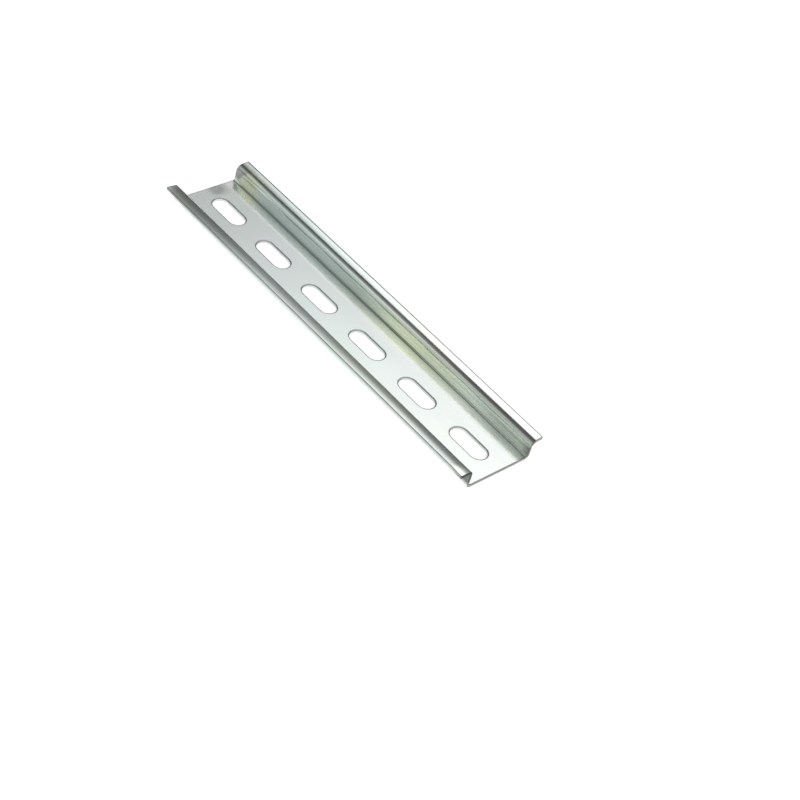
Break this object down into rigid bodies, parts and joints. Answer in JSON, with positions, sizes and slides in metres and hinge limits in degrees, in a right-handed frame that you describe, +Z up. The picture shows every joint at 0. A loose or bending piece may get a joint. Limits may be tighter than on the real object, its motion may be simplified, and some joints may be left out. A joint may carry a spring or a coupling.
{
  "type": "din rail",
  "caption": "Slotted top-hat mounting rail of zinc-plated steel strip: a shallow channel with outward lips that electrical modules clip onto.",
  "frame": {"origin": "middle of the underside of the web, halfway along the rail", "axes": "+X along the rail, +Y across it to the right-hand lip, +Z up out of the open side of the channel"},
  "size_m": [0.1524, 0.035, 0.0075],
  "materials": {
    "zinc_plated_steel": "bright zinc plate with a thin, faintly yellow-green passivation; satin, slightly streaked along the length"
  },
  "bodies": {
    "root": {"rail": "zinc_plated_steel"}
  },
  "joints": []
}
